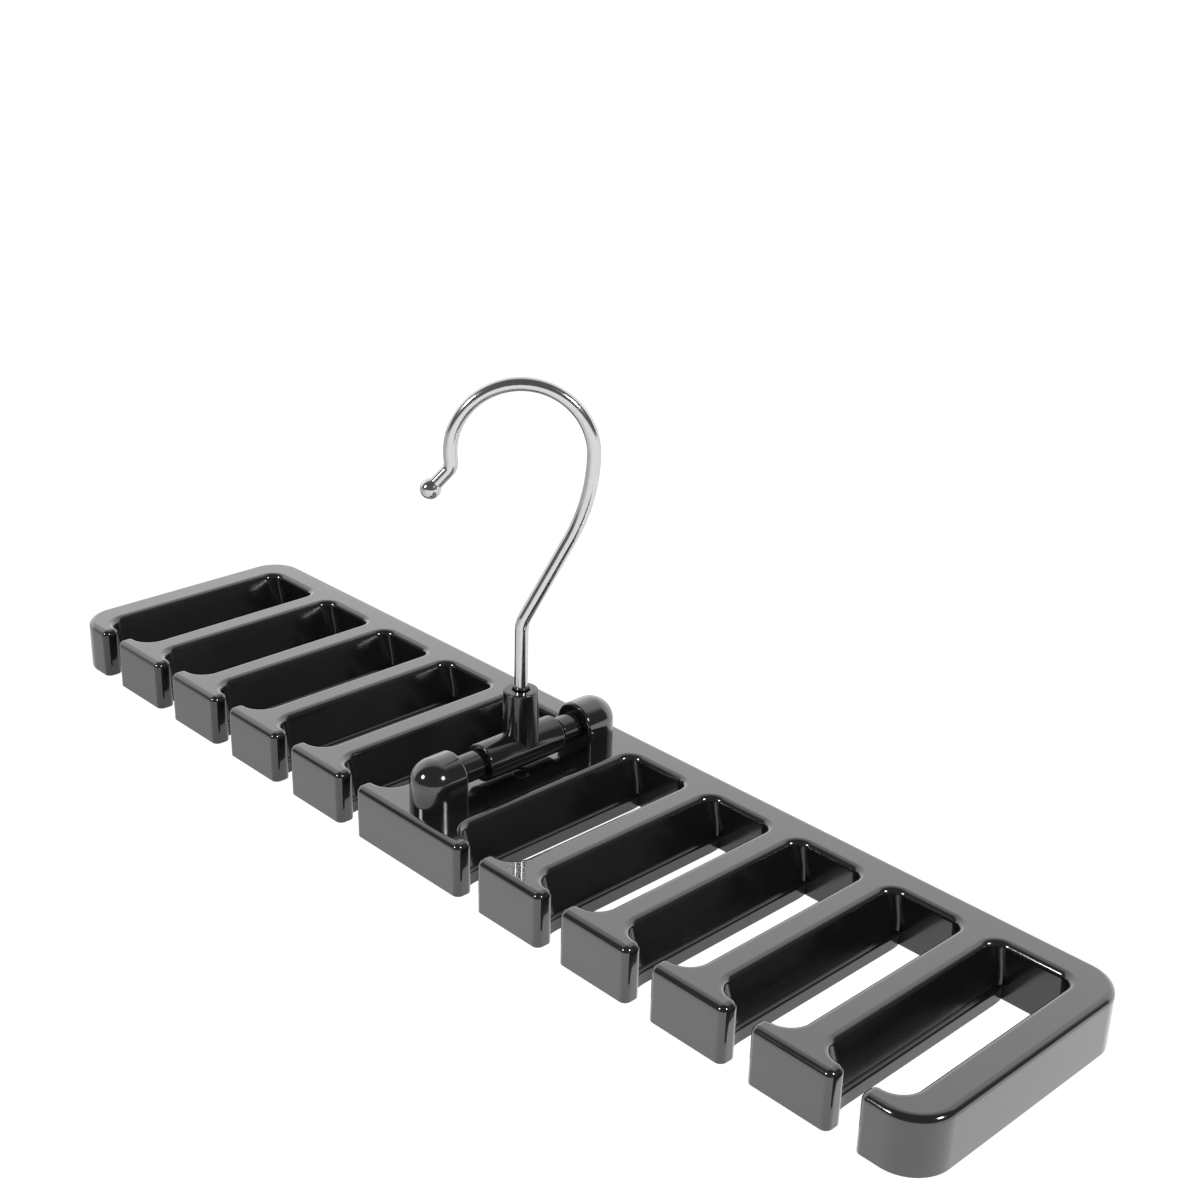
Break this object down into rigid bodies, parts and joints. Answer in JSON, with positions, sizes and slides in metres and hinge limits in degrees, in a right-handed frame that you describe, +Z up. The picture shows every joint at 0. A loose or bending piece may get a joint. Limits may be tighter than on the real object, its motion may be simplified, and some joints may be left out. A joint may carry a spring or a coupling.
{
  "type": "tie hanger",
  "caption": "Tie hanger: a flat comb of open slots for ties, with a wire hook on top that swivels and tilts on a hinge.",
  "frame": {"origin": "middle of the comb's flat underside", "axes": "+X along the comb to the right, +Y from the open fronts of the slots to the spine at the back, +Z up to the hook"},
  "size_m": [0.33, 0.0764, 0.1232],
  "materials": {
    "black_plastic": "gloss",
    "hook_steel": "polished"
  },
  "bodies": {
    "comb": {"spine": "black_plastic", "wide_rail": "black_plastic", "wide_head": "black_plastic", "left_end_rail": "black_plastic", "left_end_head": "black_plastic", "right_end_rail": "black_plastic", "right_end_head": "black_plastic", "left_rail_1": "black_plastic", "left_rail_2": "black_plastic", "left_rail_3": "black_plastic", "left_rail_4": "black_plastic", "right_rail_1": "black_plastic", "right_rail_2": "black_plastic", "right_rail_3": "black_plastic", "right_rail_4": "black_plastic", "left_head_1": "black_plastic", "left_head_2": "black_plastic", "left_head_3": "black_plastic", "left_head_4": "black_plastic", "right_head_1": "black_plastic", "right_head_2": "black_plastic", "right_head_3": "black_plastic", "right_head_4": "black_plastic", "front_lug": "black_plastic", "rear_lug": "black_plastic"},
    "swivel": {"swivel_barrel": "black_plastic"},
    "hook": {"hook_shank": "hook_steel", "hook_knee": "hook_steel", "hook_lean": "hook_steel", "hook_sweep": "hook_steel", "hook_loop": "hook_steel", "hook_tip_bend": "hook_steel", "hook_tip": "hook_steel", "hook_ball": "hook_steel"}
  },
  "joints": [
    {"name": "hook_tilt", "type": "hinge", "parent": "comb", "child": "swivel", "pos_m": [0, -0.0009, 0.0213], "axis": [0, 1, 0], "range_deg": [-70, 70]},
    {"name": "hook_swivel", "type": "hinge", "parent": "swivel", "child": "hook", "pos_m": [0, 0.001, 0.0213], "axis": [0, 0, 1], "continuous": true}
  ]
}
